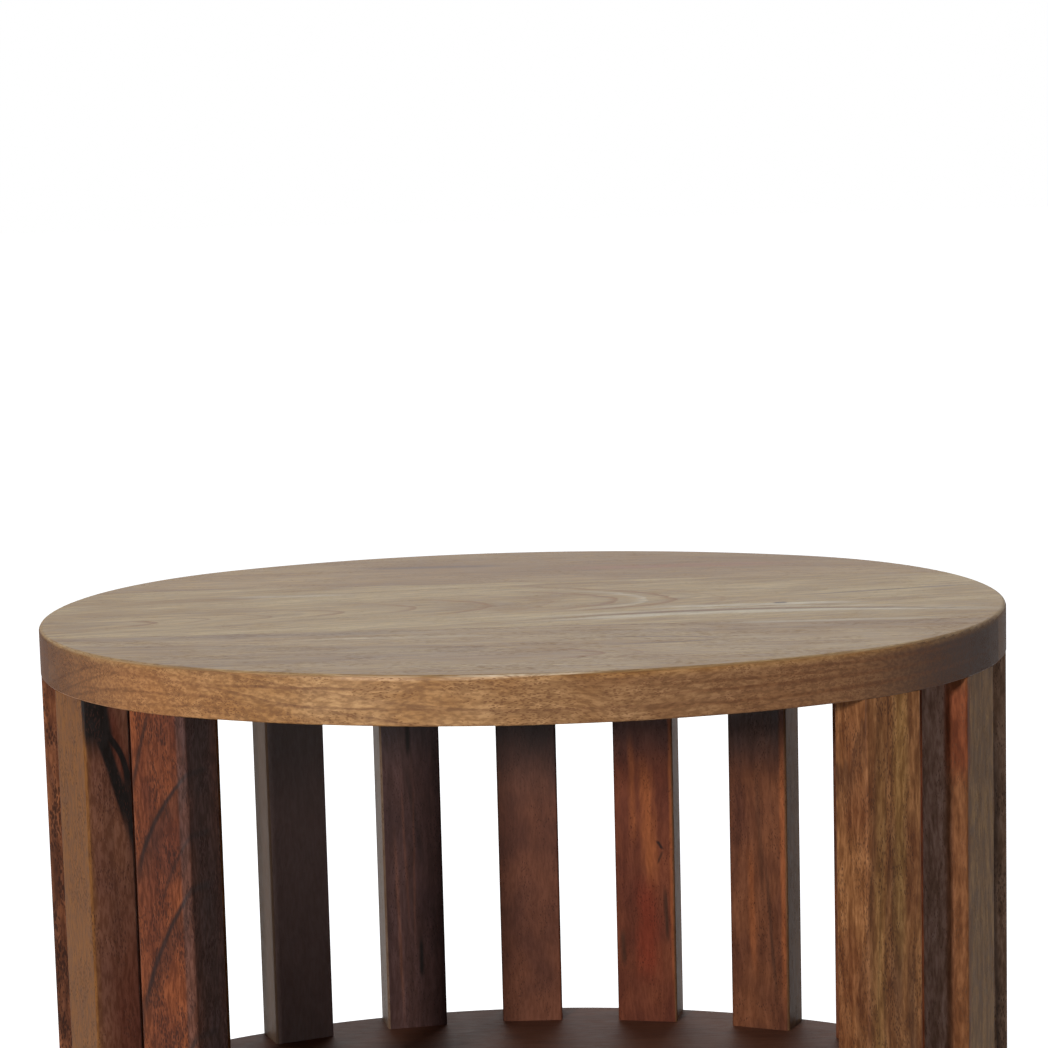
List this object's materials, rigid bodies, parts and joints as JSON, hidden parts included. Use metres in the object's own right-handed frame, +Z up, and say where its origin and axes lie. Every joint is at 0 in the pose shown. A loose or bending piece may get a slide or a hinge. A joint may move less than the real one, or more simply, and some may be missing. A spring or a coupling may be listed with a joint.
{
  "type": "oval end table with shelf",
  "caption": "Low oval solid-wood end table: upright slats flush with the rim join the top, the shelf and the base all round, but for an open front.",
  "frame": {"origin": "middle of the footprint, on the floor under the glides", "axes": "+Z up through the top; +X to the right along the long axis of the oval as seen from the open front; +Y from the open front to the back"},
  "size_m": [0.45, 0.325, 0.514],
  "materials": {
    "top_wood": "satin clear coat on greyish brown hardwood, fine grain",
    "shelf_wood": "satin clear coat on dark reddish brown hardwood",
    "base_wood": "satin clear coat on dark brown hardwood",
    "slat_wood": "satin clear coat on brown hardwood, each slat its own shade",
    "glide_nylon": "moulded nylon, dark brown",
    "nail_steel": "plain steel nail"
  },
  "bodies": {
    "root": {"top_board_front": "top_wood", "top_board_middle": "top_wood", "top_board_back": "top_wood", "shelf_board_front": "shelf_wood", "shelf_board_middle": "shelf_wood", "shelf_board_back": "shelf_wood", "base_board_front": "base_wood", "base_board_middle": "base_wood", "base_board_back": "base_wood", "upper_slat_01": "slat_wood", "upper_slat_02": "slat_wood", "upper_slat_03": "slat_wood", "upper_slat_04": "slat_wood", "upper_slat_05": "slat_wood", "upper_slat_06": "slat_wood", "upper_slat_07": "slat_wood", "upper_slat_08": "slat_wood", "upper_slat_09": "slat_wood", "upper_slat_10": "slat_wood", "upper_slat_11": "slat_wood", "upper_slat_12": "slat_wood", "upper_slat_13": "slat_wood", "upper_slat_14": "slat_wood", "upper_slat_15": "slat_wood", "lower_slat_01": "slat_wood", "lower_slat_02": "slat_wood", "lower_slat_03": "slat_wood", "lower_slat_04": "slat_wood", "lower_slat_05": "slat_wood", "lower_slat_06": "slat_wood", "lower_slat_07": "slat_wood", "lower_slat_08": "slat_wood", "lower_slat_09": "slat_wood", "lower_slat_10": "slat_wood", "lower_slat_11": "slat_wood", "lower_slat_12": "slat_wood", "lower_slat_13": "slat_wood", "lower_slat_14": "slat_wood", "lower_slat_15": "slat_wood", "floor_glides": "glide_nylon", "glide_nails": "nail_steel"}
  },
  "joints": []
}
